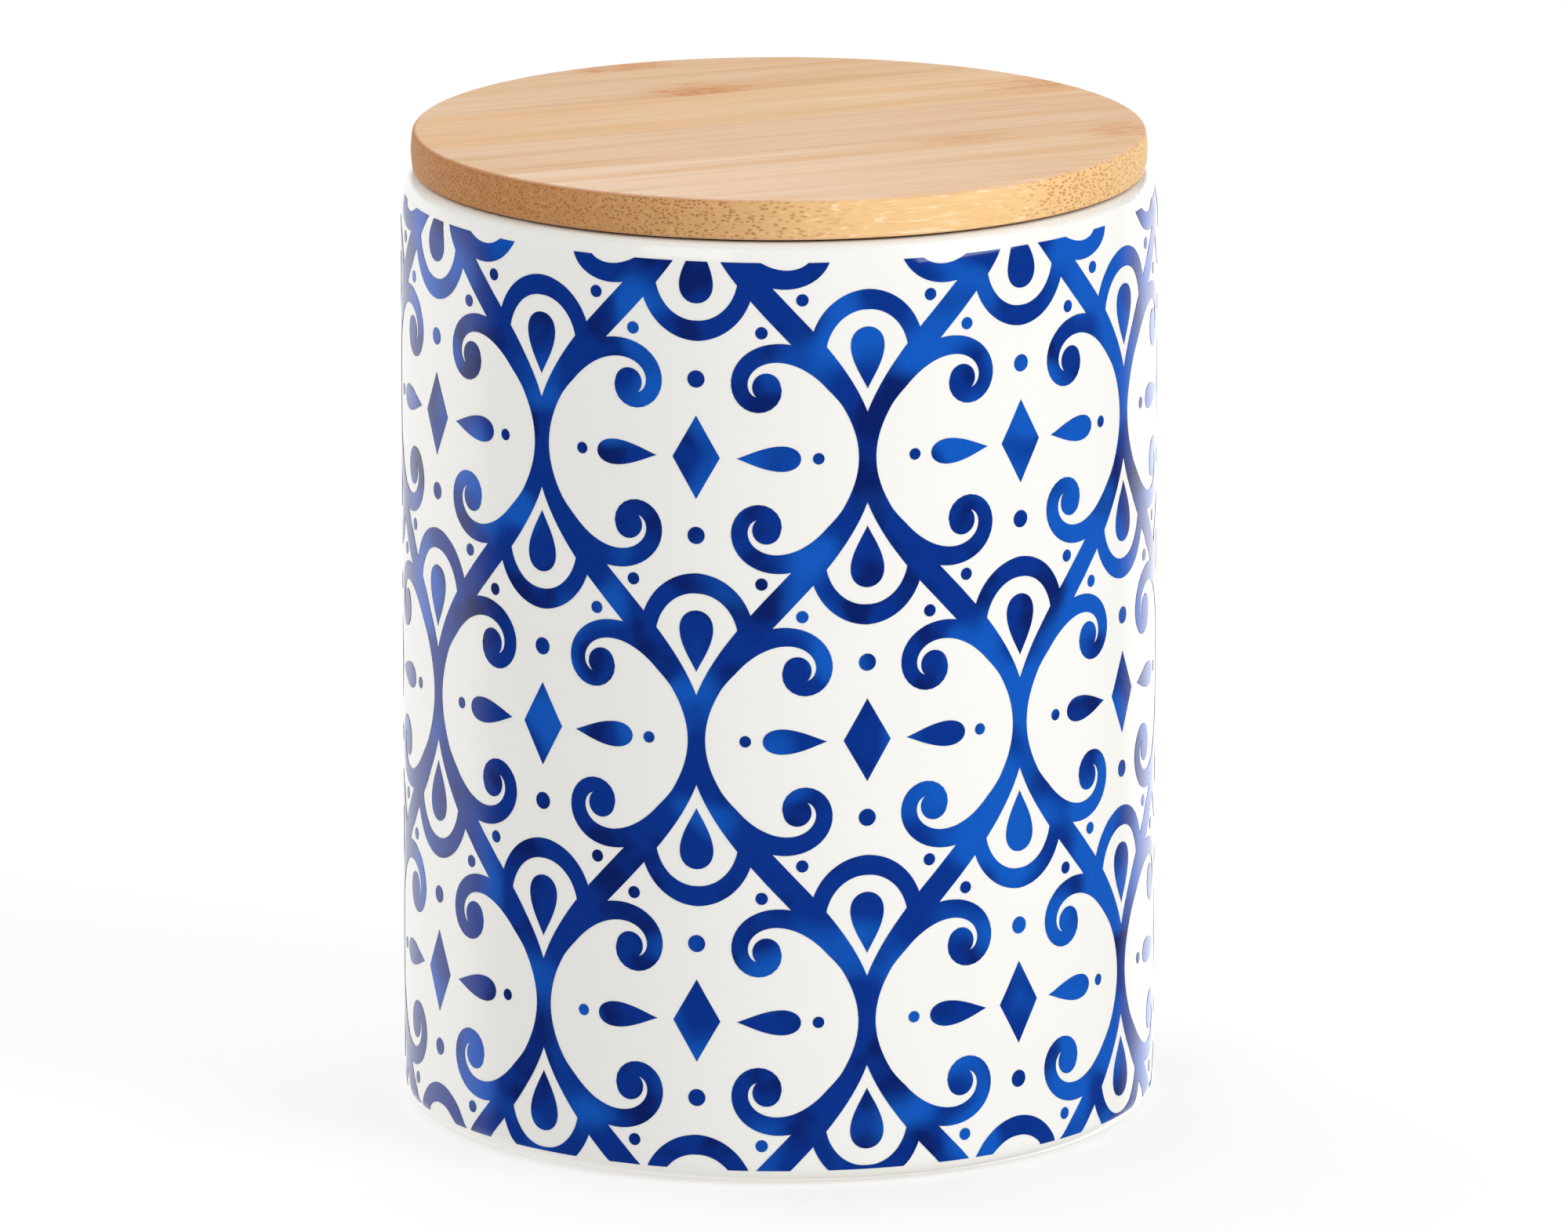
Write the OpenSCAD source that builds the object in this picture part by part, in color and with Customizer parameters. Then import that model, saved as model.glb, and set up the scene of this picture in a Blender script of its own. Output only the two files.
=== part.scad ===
// Storage canister: a glazed ceramic jar with a printed band of scrolls, closed by a wooden lid.
// The lid is two boards glued from bamboo strips. The lower board plugs into the mouth and
// carries a lipped silicone seal in a groove.
// Millimetres. The origin is the centre of the foot, on the surface that the jar stands on.
// +Z is up, and -Y is the front.

/* [Jar] */
// Outer diameter of the wall
jar_d = 105; // [80:1:150]
// Height from the foot to the crown of the rim
jar_h = 132; // [90:1:200]
// Thickness of the wall
wall_t = 4.5; // [3.5:0.1:7]
// Thickness of the floor above the recess in the foot
floor_t = 5; // [3:0.5:10]
// Radius of the round between the floor and the wall inside
inside_round_r = 6; // [2:0.5:12]

/* [Rim] */
// Radius of the shoulder, where the wall turns in below the rim
shoulder_r = 12; // [8:0.5:16]
// Angle that the shoulder turns through before the rim begins
shoulder_turn = 22; // [12:1:26]
// Radius of the rim's outer edge
rim_outer_r = 1.6; // [1:0.1:2]
// Radius of the rim's inner edge
rim_inner_r = 1.5; // [0.5:0.1:2]

/* [Foot] */
// Radius of the round between the wall and the foot
foot_round_r = 3.3; // [1:0.1:6]
// Width of the flat ring that the jar stands on
foot_ring_w = 4; // [2:0.5:8]
// Depth of the recess inside the foot ring
foot_recess_deep = 1.2; // [0.5:0.1:2.5]

/* [Print] */
// Height of the printed band's lower edge above the foot
print_low = 2.15; // [0.5:0.05:10]
// Distance from the printed band's upper edge to the crown of the rim
print_margin = 2.5; // [2:0.1:15]
// Thickness of the printed enamel
print_t = 0.06; // [0.04:0.01:0.2]

/* [Lid] */
// Distance from the lid's edge in to the jar's outer wall
lid_inset = 1.4; // [0:0.1:4]
// Gap between the rim and the lid
lid_gap = 0.35; // [0.1:0.05:1]
// Thickness of the top board
board_t = 5.65; // [4:0.05:10]
// Radius of the gentle bow of the top board's side
side_bow_r = 13; // [10:1:60]
// Radius of the top board's upper edge
board_top_r = 0.7; // [0.3:0.1:1.5]
// Radius of the top board's lower edge
board_low_r = 0.4; // [0.2:0.1:1.5]
// Number of bamboo strips in the top board
top_strips = 6; // [4:2:8]
// Distance from the lid's axis to the joint beside it
seam_shift = 4.7; // [1:0.1:8]
// Angle from +X to the grain of the top board
grain_turn = 24; // [0:1:90]

/* [Plug] */
// Gap between the plug and the bore of the jar
plug_gap = 2; // [1:0.1:3]
// Thickness of the lower board, which is the plug
plug_t = 7.5; // [6:0.5:14]
// Bevel on the plug's lower edge
plug_bevel = 0.8; // [0.3:0.1:1.5]
// Number of bamboo strips in the plug, which lie across the top board's grain
plug_strips = 5; // [3:2:7]

/* [Seal] */
// Width of the groove that holds the seal
groove_w = 3.6; // [3:0.1:5]
// Depth of the groove
groove_deep = 2.2; // [1.5:0.1:3]
// Clearance all round the seal in its groove
seal_clearance = 0.1; // [0.05:0.01:0.2]
// Thickness of each lip of the seal
lip_t = 0.7; // [0.5:0.05:1]
// Angle that the lips are bent up by
lip_tilt = 18; // [0:1:30]
// Gap between the lips and the bore
lip_gap = 0.2; // [0.1:0.05:0.4]

/* [Hidden] */
$fn = 180;
glaze_color = [0.93, 0.92, 0.89];
ink_color = [0.05, 0.15, 0.5];
seal_color = [0.82, 0.82, 0.8];
strip_colors = [[0.9, 0.8, 0.66], [0.93, 0.84, 0.7], [0.86, 0.73, 0.6], [0.91, 0.79, 0.6],
                [0.88, 0.75, 0.62], [0.84, 0.7, 0.55]];

jar_r = jar_d / 2;
bore_r = jar_r - wall_t;
// Centre of the shoulder's arc, and of the rim's outer edge, as [radius, height]
rim_offset = (shoulder_r - rim_outer_r) * [cos(shoulder_turn), sin(shoulder_turn)];
shoulder_z = jar_h - rim_outer_r - rim_offset.y;
shoulder_c = [jar_r - shoulder_r, shoulder_z];
rim_c = shoulder_c + rim_offset;
inner_edge_r = min(rim_inner_r, rim_c.x - bore_r);
inside_z = foot_recess_deep + floor_t;
foot_in_r = jar_r - foot_round_r - foot_ring_w;
print_h = jar_h - print_margin - print_low;

board_r = jar_r - lid_inset;
board_z = jar_h + lid_gap;
board_mid_z = board_z + board_t / 2;
bow_c = [board_r - side_bow_r, board_mid_z];
// Flats along each rounded edge of the top board, and along its bowed side
edge_steps = 6;
bow_steps = 8;
// The strips are as wide as the top board needs for its joints to lie off centre
strip_w = 2 * board_r / (top_strips - 1);

plug_r = bore_r - plug_gap;
plug_z = board_z - plug_t;
groove_z = plug_z + (plug_t - groove_w) / 2;
groove_r = plug_r - groove_deep;
seal_r = groove_r + seal_clearance;
seal_z = groove_z + seal_clearance;
seal_h = groove_w - 2 * seal_clearance;
lip_foot_r = plug_r + seal_clearance;
lip_len = (bore_r - lip_gap - lip_t / 2 - lip_foot_r) / cos(lip_tilt);

// Half section of the jar's outside, grown by t
module jar_outline(t) {
    shoulder_dir = [cos(shoulder_turn), sin(shoulder_turn)];
    foot_c = [jar_r - foot_round_r, foot_round_r];
    translate([0, foot_c.y])
        square([jar_r + t, shoulder_z - foot_c.y]);
    translate([0, -t])
        square([foot_c.x, foot_c.y + t]);
    intersection() {
        translate(foot_c)
            circle(foot_round_r + t);
        translate([foot_c.x, -t])
            square(foot_round_r + t);
    }
    intersection() {
        translate(shoulder_c)
            circle(shoulder_r + t);
        polygon([shoulder_c, shoulder_c + [2 * shoulder_r, 0], shoulder_c + 2 * shoulder_r * shoulder_dir]);
    }
    translate(rim_c)
        circle(rim_outer_r + t);
    polygon([[0, shoulder_z], shoulder_c, rim_c, [rim_c.x, jar_h + t], [0, jar_h + t]]);
}

// Half section of the space inside the jar, with the rounded inner edge of the rim
module jar_hollow() {
    round_c = [bore_r - inside_round_r, inside_z + inside_round_r];
    translate([0, round_c.y])
        square([bore_r, jar_h - round_c.y + 1]);
    translate([0, inside_z])
        square([round_c.x, inside_round_r]);
    intersection() {
        translate(round_c)
            circle(inside_round_r);
        translate([round_c.x, inside_z])
            square(inside_round_r);
    }
    translate([bore_r, jar_h - inner_edge_r])
        difference() {
            square([inner_edge_r, inner_edge_r + 1]);
            translate([inner_edge_r, 0])
                circle(inner_edge_r);
        }
}

// Half section of the shallow recess inside the foot ring
module foot_recess() {
    translate([0, -1])
        square([foot_in_r - foot_recess_deep, foot_recess_deep + 1]);
    translate([foot_in_r - foot_recess_deep, 0])
        circle(foot_recess_deep);
}

module jar_body() {
    color(glaze_color)
        rotate_extrude()
            difference() {
                jar_outline(0);
                jar_hollow();
                foot_recess();
            }
}

// Thin sleeve of enamel that the print lies in
module transfer_print() {
    color(ink_color)
        rotate_extrude()
            intersection() {
                translate([0, print_low])
                    square([jar_d, print_h]);
                difference() {
                    jar_outline(print_t);
                    jar_outline(0);
                }
            }
}

// Centre of a round of radius r that is tangent to the bow and to the face h above the board's middle
function edge_c(r, h) = bow_c + [sqrt(pow(side_bow_r - r, 2) - pow(abs(h) - r, 2)), h - sign(h) * r];

// Points along an arc about c, from angle a0 to angle a1
function arc(c, r, a0, a1, steps) = [
    for (i = [0:steps])
        c + r * [cos(a0 + (a1 - a0) * i / steps), sin(a0 + (a1 - a0) * i / steps)]
];

// Half section of the top board: a bowed side between two rounded edges
module board_outline() {
    top_c = edge_c(board_top_r, board_t / 2);
    low_c = edge_c(board_low_r, -board_t / 2);
    top_angle = asin((top_c.y - bow_c.y) / (side_bow_r - board_top_r));
    low_angle = asin((low_c.y - bow_c.y) / (side_bow_r - board_low_r));
    polygon(concat(
        [[0, board_z]],
        arc(low_c, board_low_r, -90, low_angle, edge_steps),
        arc(bow_c, side_bow_r, low_angle, top_angle, bow_steps),
        arc(top_c, board_top_r, top_angle, 90, edge_steps),
        [[0, board_z + board_t]]
    ));
}

// Half section of the plug, with the seal's groove
module plug_outline() {
    difference() {
        polygon([[0, plug_z], [plug_r - plug_bevel, plug_z], [plug_r, plug_z + plug_bevel],
                 [plug_r, board_z], [0, board_z]]);
        translate([groove_r, groove_z])
            square([groove_deep + 1, groove_w]);
    }
}

// Slab one strip wide that starts at distance v from the axis, with its length turned by angle
module strip_slab(v, angle) {
    rotate([0, 0, angle])
        translate([-jar_r, v, plug_z - 1])
            cube([jar_d, strip_w, plug_t + board_t + 2]);
}

module lid_strip(i) {
    color(strip_colors[(i - 1) % len(strip_colors)])
        intersection() {
            rotate_extrude()
                board_outline();
            strip_slab(seam_shift + (i - 1 - top_strips / 2) * strip_w, grain_turn);
        }
}

module plug_strip(i) {
    color(strip_colors[(i + 1) % len(strip_colors)])
        intersection() {
            rotate_extrude()
                plug_outline();
            strip_slab((i - 1 - plug_strips / 2) * strip_w, grain_turn + 90);
        }
}

// Half section of one lip, with its root at height z and its tip rounded
module seal_lip(z) {
    root = 0.4;
    translate([lip_foot_r, z])
        rotate(lip_tilt) {
            translate([-root, -lip_t / 2])
                square([lip_len + root, lip_t]);
            translate([lip_len, 0])
                circle(lip_t / 2);
        }
}

module seal_ring() {
    lip_step = seal_h / 4;
    color(seal_color)
        rotate_extrude() {
            translate([seal_r, seal_z])
                square([lip_foot_r - seal_r, seal_h]);
            seal_lip(seal_z + lip_step);
            seal_lip(seal_z + 3 * lip_step);
        }
}

jar_body();
transfer_print();
seal_ring();
for (i = [1:top_strips])
    lid_strip(i);
for (i = [1:plug_strips])
    plug_strip(i);
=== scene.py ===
import math

import bmesh
import bpy
from bpy.props import FloatProperty, FloatVectorProperty, IntProperty, PointerProperty
from mathutils import Matrix, Vector


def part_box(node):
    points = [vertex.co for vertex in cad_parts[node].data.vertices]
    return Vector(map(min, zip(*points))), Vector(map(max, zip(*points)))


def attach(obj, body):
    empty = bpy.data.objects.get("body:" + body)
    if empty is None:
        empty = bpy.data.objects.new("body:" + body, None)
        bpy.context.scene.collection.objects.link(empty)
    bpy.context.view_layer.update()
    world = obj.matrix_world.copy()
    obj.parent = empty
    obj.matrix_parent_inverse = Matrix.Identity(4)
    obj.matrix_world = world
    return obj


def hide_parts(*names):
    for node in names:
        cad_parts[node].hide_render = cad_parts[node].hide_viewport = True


bl_info = {
    "name": "Storage canister",
    "version": (1, 0, 0),
    "blender": (4, 5, 0),
    "location": "3D View > Sidebar > Canister",
    "description": "Glazed jar with a printed ogee ornament, a bamboo lid and a silicone seal",
    "category": "Object",
}

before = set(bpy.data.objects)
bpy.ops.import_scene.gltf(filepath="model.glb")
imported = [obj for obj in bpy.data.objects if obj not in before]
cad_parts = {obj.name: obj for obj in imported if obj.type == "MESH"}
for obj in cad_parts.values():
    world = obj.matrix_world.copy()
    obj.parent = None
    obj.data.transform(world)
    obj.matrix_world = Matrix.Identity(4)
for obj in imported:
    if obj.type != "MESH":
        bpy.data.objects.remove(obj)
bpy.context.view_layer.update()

MM = 0.001
TOP_STRIPS = sorted(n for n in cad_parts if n.startswith("lid_strip_"))
PLUG_STRIPS = sorted(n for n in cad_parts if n.startswith("plug_strip_"))


def paint(red, green, blue):
    """A colour mixed on the usual 0 to 255 scale, as the linear values that a shader takes."""
    def linear(channel):
        share = channel / 255
        return share / 12.92 if share <= 0.04045 else ((share + 0.055) / 1.055) ** 2.4
    return (linear(red), linear(green), linear(blue))


def colour_property(name, description, default):
    """A colour setting for the panel."""
    return FloatVectorProperty(name=name, description=description, default=default,
                               subtype="COLOR", size=3, min=0, max=1)


def length_property(name, description, default):
    """A length setting in millimetres."""
    return FloatProperty(name=name, description=description + ", mm", default=default)


# ---------------------------------------------------------------- settings

class PrintSettings(bpy.types.PropertyGroup):
    """Sizes and inks of the printed ornament."""
    columns: IntProperty(name="Columns", description="Columns of the half drop round the jar", default=14)
    cell_h: length_property("Cell height", "Height of a quarter of the repeat", 39.56)
    first_z: length_property("First row", "Height of the lowest row of lozenges", 23.23)
    turn: FloatProperty(name="Turn", description="Turn of the pattern from the front, degrees",
                        default=-12.42)
    frame_w: length_property("Frame width", "Width of the ogee frame where it is widest", 3.5)
    scroll_w: length_property("Scroll width", "Full width of a scroll", 3.2)
    swag_w: length_property("Swag width", "Width of the swag under a bud", 2.9)
    proud: length_property("Proud", "Height of the enamel above the wall", 0.05)
    sunk: length_property("Sunk", "Depth of the enamel in the wall", 0.04)
    shoulder_r: length_property("Shoulder radius", "Radius of the jar's shoulder", 12.0)
    shoulder_turn: FloatProperty(name="Shoulder turn", description="Angle of the shoulder, degrees",
                                 default=22.0)
    rim_r: length_property("Rim radius", "Radius of the rim's outer edge", 1.6)
    foot_r: length_property("Foot radius", "Radius of the round at the foot", 3.3)
    ink_deep: colour_property("Deep ink", "Ink where it lies thick", paint(3, 28, 98))
    ink_mid: colour_property("Ink", "Ink over most of the print", paint(2, 48, 136))
    # Bright ink: where the ink lies thin, and also the painted light towards +X
    ink_bright: colour_property("Bright ink", "Ink where it lies thin", paint(12, 86, 186))


class GlazeSettings(bpy.types.PropertyGroup):
    """Finish of the jar."""
    glaze: colour_property("Glaze", "Glaze over the body", paint(241, 240, 236))
    thin_glaze: colour_property("Thin glaze", "Glaze where it thins over an edge", paint(238, 235, 227))
    clay: colour_property("Clay", "Bare clay of the foot ring", paint(222, 208, 186))
    roughness: FloatProperty(name="Roughness", description="Roughness of the glaze", default=0.08)
    bare_h: length_property("Bare height", "Height of the bare foot ring", 0.35)


class LidSettings(bpy.types.PropertyGroup):
    """Finish of the bamboo boards."""
    top_grain: FloatProperty(name="Top grain", description="Grain of the top board from +X, degrees",
                             default=24.0)
    plug_grain: FloatProperty(name="Plug grain", description="Grain of the plug from +X, degrees",
                              default=114.0)
    bundle: length_property("Bundle spacing", "Distance between fibre bundles", 0.42)
    fibre: colour_property("Fibre", "Dark fibre bundles", paint(160, 104, 54))
    long_side: colour_property("Long side", "Sides cut along the grain", paint(240, 196, 138))
    # Cut-end tones: painted shade towards -X and painted light towards +X
    shaded_end_tone: colour_property("Brown end", "Cut ends towards -X, which are browner", paint(181, 123, 68))
    lit_end_tone: colour_property("Pale end", "Cut ends towards +X", paint(234, 190, 132))
    fleck: colour_property("Fleck", "Pale flecks in the long sides", paint(252, 228, 186))
    knot: colour_property("Knot", "Node of the cane", paint(204, 136, 82))
    # Darker edge round the top, stronger towards -X where it carries painted shade
    edge: colour_property("Edge", "Burnished edge round the top", paint(176, 110, 58))
    roughness: FloatProperty(name="Roughness", description="Roughness of the oiled face", default=0.48)


class SealSettings(bpy.types.PropertyGroup):
    """Finish of the seal."""
    silicone: colour_property("Silicone", "Milky silicone", paint(222, 221, 216))
    roughness: FloatProperty(name="Roughness", description="Roughness of the silicone", default=0.42)


class StageSettings(bpy.types.PropertyGroup):
    """Floor, lights and camera."""
    floor: colour_property("Floor", "Pale floor", paint(250, 250, 249))
    surround: FloatProperty(name="Surround", description="Strength of the surround", default=0.52)
    mirrored: FloatProperty(name="Mirrored surround", description="Strength that glossy faces mirror of it",
                            default=0.06)
    elevation: FloatProperty(name="Elevation", description="Camera's height above level, degrees",
                             default=13.0)
    distance: FloatProperty(name="Distance", description="Camera's distance", default=2.2676, unit="LENGTH")
    lens: FloatProperty(name="Lens", description="Focal length on a 36 mm sensor, mm", default=372.8)
    aim: FloatVectorProperty(name="Aim", description="Point that the camera looks at", size=3,
                             default=(0.00068, 0.0, 0.06835), unit="LENGTH")


# ---------------------------------------------------------------- shader helpers

# Sockets of a Mix node that mixes colours, by number because its other kinds use the same names
MIX_SHARE, MIX_FIRST, MIX_SECOND, MIX_RESULT = 0, 6, 7, 2


def node(tree, kind, **settings):
    """A new shader node with its own settings."""
    made = tree.nodes.new(kind)
    for name, value in settings.items():
        setattr(made, name, value)
    return made


def fill(tree, socket, value):
    """Links the socket to value where that is a socket too, and sets it otherwise."""
    if isinstance(value, bpy.types.NodeSocket):
        tree.links.new(value, socket)
    else:
        socket.default_value = value


def feed(tree, target, **sources):
    """Fills inputs of target by name. Underscores stand for spaces."""
    for name, value in sources.items():
        fill(tree, target.inputs[name.replace("_", " ")], value)
    return target


def maths(tree, operation, first, second=0.0):
    """Result of one step of arithmetic."""
    made = node(tree, "ShaderNodeMath", operation=operation)
    fill(tree, made.inputs[0], first)
    fill(tree, made.inputs[1], second)
    return made.outputs[0]


def times(tree, first, second):
    """Product of two values."""
    return maths(tree, "MULTIPLY", first, second)


def plus(tree, first, second):
    """Sum of two values."""
    return maths(tree, "ADD", first, second)


def split_xyz(tree, vector):
    """X, Y and Z of a vector."""
    made = node(tree, "ShaderNodeSeparateXYZ")
    tree.links.new(vector, made.inputs[0])
    return made.outputs


def length_of(tree, vector):
    """Length of a vector."""
    made = node(tree, "ShaderNodeVectorMath", operation="LENGTH")
    tree.links.new(vector, made.inputs[0])
    return made.outputs["Value"]


def ramp(tree, value, low, high, start=0.0, end=1.0):
    """value from low to high, spread smoothly over start to end."""
    made = node(tree, "ShaderNodeMapRange", interpolation_type="SMOOTHSTEP")
    tree.links.new(value, made.inputs["Value"])
    for name, number in (("From Min", low), ("From Max", high), ("To Min", start), ("To Max", end)):
        made.inputs[name].default_value = number
    return made.outputs["Result"]


def blended(tree, share, first, second, blend_type="MIX"):
    """First colour turned into the second by share."""
    made = node(tree, "ShaderNodeMix", data_type="RGBA", blend_type=blend_type)
    fill(tree, made.inputs[MIX_SHARE], share)
    for number, colour in ((MIX_FIRST, first), (MIX_SECOND, second)):
        linked = isinstance(colour, bpy.types.NodeSocket)
        fill(tree, made.inputs[number], colour if linked else (*colour, 1.0))
    return made.outputs[MIX_RESULT]


def darkened(tree, share, colour, tint):
    """The colour multiplied by tint, by share."""
    return blended(tree, share, colour, tint, blend_type="MULTIPLY")


def mixed_shader(tree, share, first, second):
    """First shader turned into the second by share."""
    made = node(tree, "ShaderNodeMixShader")
    for socket, source in zip(made.inputs, (share, first, second)):
        tree.links.new(source, socket)
    return made.outputs[0]


def noise(tree, vector, scale, detail=2.0, roughness=0.5):
    """Soft noise over a vector."""
    made = node(tree, "ShaderNodeTexNoise")
    feed(tree, made, Vector=vector, Scale=scale, Detail=detail, Roughness=roughness)
    return made.outputs["Fac"]


def place(tree, vector, location=(0, 0, 0), turn=0.0, scale=(1, 1, 1)):
    """vector moved, turned about Z and stretched."""
    made = node(tree, "ShaderNodeMapping")
    feed(tree, made, Vector=vector, Location=location, Rotation=(0, 0, turn), Scale=scale)
    return made.outputs["Vector"]


def drawn_noise(tree, vector, along, scale, detail=2.0, roughness=0.5):
    """Noise drawn out along X, where its scale is only a share of what it is across."""
    return noise(tree, place(tree, vector, scale=(along, 1, 1)), scale, detail, roughness)


def group(name, inputs, outputs):
    """An empty shader group with named sockets: its tree, its inputs and its output node."""
    tree = bpy.data.node_groups.new(name, "ShaderNodeTree")
    for label, kind, default in inputs:
        socket = tree.interface.new_socket(name=label, in_out="INPUT", socket_type=kind)
        socket.default_value = default
    for label, kind in outputs:
        tree.interface.new_socket(name=label, in_out="OUTPUT", socket_type=kind)
    return tree, node(tree, "NodeGroupInput").outputs, node(tree, "NodeGroupOutput")


def use_group(tree, name, **sources):
    """Outputs of a shader group placed in a material."""
    made = node(tree, "ShaderNodeGroup", node_tree=bpy.data.node_groups[name])
    return feed(tree, made, **sources).outputs


def new_material(name):
    """A material's tree and its main shader."""
    material = bpy.data.materials.new(name)
    material.use_nodes = True
    return material, material.node_tree, material.node_tree.nodes["Principled BSDF"]


def bump(tree, shader, height, distance):
    """Gives the shader a fine relief."""
    made = node(tree, "ShaderNodeBump")
    feed(tree, made, Height=height, Distance=distance, Strength=1.0)
    tree.links.new(made.outputs["Normal"], shader.inputs["Normal"])


def dress(obj, material):
    """Puts the material on the object in place of any other."""
    obj.data.materials.clear()
    obj.data.materials.append(material)


# ---------------------------------------------------------------- shared finishes

def make_glaze_surface():
    """Group for the skin of the fired glaze: slow waves, orange peel and uneven gloss."""
    tree, given, result = group(
        "glaze_surface",
        [("Roughness", "NodeSocketFloat", 0.08)],
        [("Height", "NodeSocketFloat"), ("Roughness", "NodeSocketFloat"), ("Cloud", "NodeSocketFloat")])
    where = node(tree, "ShaderNodeTexCoord").outputs["Object"]
    waves = noise(tree, where, 70.0, 1.0)
    peel = noise(tree, where, 520.0, 2.0)
    cloud = noise(tree, where, 38.0, 3.0)
    height = plus(tree, waves, times(tree, peel, 0.05))
    uneven = times(tree, maths(tree, "SUBTRACT", cloud, 0.5), 0.05)
    feed(tree, result, Height=height, Roughness=plus(tree, given["Roughness"], uneven), Cloud=cloud)


def make_bamboo_grain():
    """Group for cane: its bundles, streaks, bands, flecks, lines and dashes, along X. Vector is in metres."""
    outputs = ("Bundles", "Streaks", "Bands", "Flecks", "Lines", "Dashes")
    tree, given, result = group(
        "bamboo_grain",
        [("Vector", "NodeSocketVector", (0, 0, 0)), ("Spacing", "NodeSocketFloat", 0.00042)],
        [(name, "NodeSocketFloat") for name in outputs])
    vector = given["Vector"]
    cells = node(tree, "ShaderNodeTexVoronoi", feature="F1")
    feed(tree, cells, Vector=place(tree, vector, scale=(0.012, 1, 1)),
         Scale=maths(tree, "DIVIDE", 1.0, given["Spacing"]), Randomness=0.8)
    feed(tree, result,
         Bundles=ramp(tree, cells.outputs["Distance"], 0.18, 0.5, 1.0, 0.0),
         Streaks=drawn_noise(tree, vector, 0.02, 950.0, 3.0, 0.6),
         Bands=noise(tree, place(tree, vector, scale=(0.06, 1, 0.5)), 190.0),
         Flecks=ramp(tree, drawn_noise(tree, vector, 0.16, 1700.0), 0.52, 0.72),
         Lines=ramp(tree, drawn_noise(tree, vector, 0.008, 2600.0, 1.0), 0.55, 0.75),
         Dashes=ramp(tree, drawn_noise(tree, vector, 0.3, 1300.0, 3.0, 0.7), 0.42, 0.6))


# ---------------------------------------------------------------- print: strokes of the ornament

# Parts of the ornament in a quarter of the repeat, which has a lozenge at its origin. Millimetres and degrees
SCROLL = {"root": (21.9, 6.6), "heading": 116, "length": 30.0, "open_bend": 0.052, "tight_bend": 0.56}
SWAG = {"low": 17.6, "high": 25.2, "reach": 6.9}
BUDS = (
    {"root": (0, 21.4), "heading": 90, "length": 8.6, "width": 4.8},
    {"root": (14.4, 0), "heading": 180, "length": 8.8, "width": 3.6},
)
# Centre and radius of each dot
DOTS = (((0, 10.9), 1.2), ((9.0, 17.5), 0.85), ((16.8, 0), 0.8))
# Half the lozenge's width and height
LOZENGE = (3.3, 5.8)
# Rows of the repeat that it takes to cover the band
ROWS = 2
# Places where the sheet is cut so that it can bend: heights over the foot, and depths below the rim
FOOT_BENDS = (2.6, 3.3)
RIM_BENDS = (5.5, 4.7, 3.9, 3.2)
# Points nearer to each other than this are one point: in the flat sheet, and once it is wrapped
FLAT_WELD = 0.002
WRAPPED_WELD = 0.004
# Points nearer to a cut than this lie on it
ON_CUT = 0.0005


def jar_size():
    """Radius and height of the jar, mm."""
    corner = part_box("jar_body")[1]
    return corner.x / MM, corner.z / MM


def flat_nib():
    """A level line of length 1, which a stroke is swept with."""
    edge = bpy.data.curves.new("nib", "CURVE")
    edge.dimensions = "3D"
    nib = edge.splines.new("POLY")
    nib.points.add(1)
    nib.points[0].co = (-0.5, 0, 0, 1)
    nib.points[1].co = (0.5, 0, 0, 1)
    return bpy.data.objects.new("nib", edge)


def swept(spine, widths):
    """A flat ribbon along the spine, as wide at each point as widths says."""
    nib = flat_nib()
    curve = bpy.data.curves.new("stroke", "CURVE")
    curve.dimensions = "3D"
    curve.twist_mode = "Z_UP"
    curve.bevel_mode = "OBJECT"
    curve.bevel_object = nib
    line = curve.splines.new("POLY")
    line.points.add(len(spine) - 1)
    for point, at, width in zip(line.points, spine, widths):
        point.co = (at.x, at.y, 0, 1)
        point.radius = width
    bm = bmesh.new()
    merge_object(bm, bpy.data.objects.new("stroke", curve))
    bpy.data.objects.remove(nib)
    return bm


def merge_object(bm, obj):
    """Adds the object's finished mesh to bm and removes the object."""
    bpy.context.scene.collection.objects.link(obj)
    graph = bpy.context.evaluated_depsgraph_get()
    mesh = bpy.data.meshes.new_from_object(obj.evaluated_get(graph))
    bm.from_mesh(mesh)
    bpy.data.meshes.remove(mesh)
    bpy.data.objects.remove(obj)


def disc(centre, radius, sides=28, stretch=(1, 1)):
    """A flat round, or a lozenge where it has four sides."""
    bm = bmesh.new()
    bmesh.ops.create_circle(bm, cap_ends=True, segments=sides, radius=radius)
    bmesh.ops.scale(bm, vec=(*stretch, 1), verts=bm.verts)
    bmesh.ops.translate(bm, vec=(centre.x, centre.y, 0), verts=bm.verts)
    return bm


def rounded(spine, widths):
    """A stroke with a round at each end, as separate flat parts."""
    ends = ((spine[0], widths[0]), (spine[-1], widths[-1]))
    return [swept(spine, widths)] + [disc(at, width / 2) for at, width in ends if width > 0.2]


def ogee_frame(cell_w, cell_h, width, waist=0.69, start=-0.06, span=1.12, steps=48):
    """The frame's S curve, from one column's waist up to the next column's and a little past both."""
    shares = [start + span * i / steps for i in range(steps + 1)]
    spine = [Vector((cell_w / 2 * (1 + math.cos(math.pi * s)), cell_h * s)) for s in shares]
    narrow = waist * width
    widths = [narrow + (width - narrow) * max(0, math.sin(math.pi * s)) ** 2 for s in shares]
    return [swept(spine, widths)]


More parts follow.
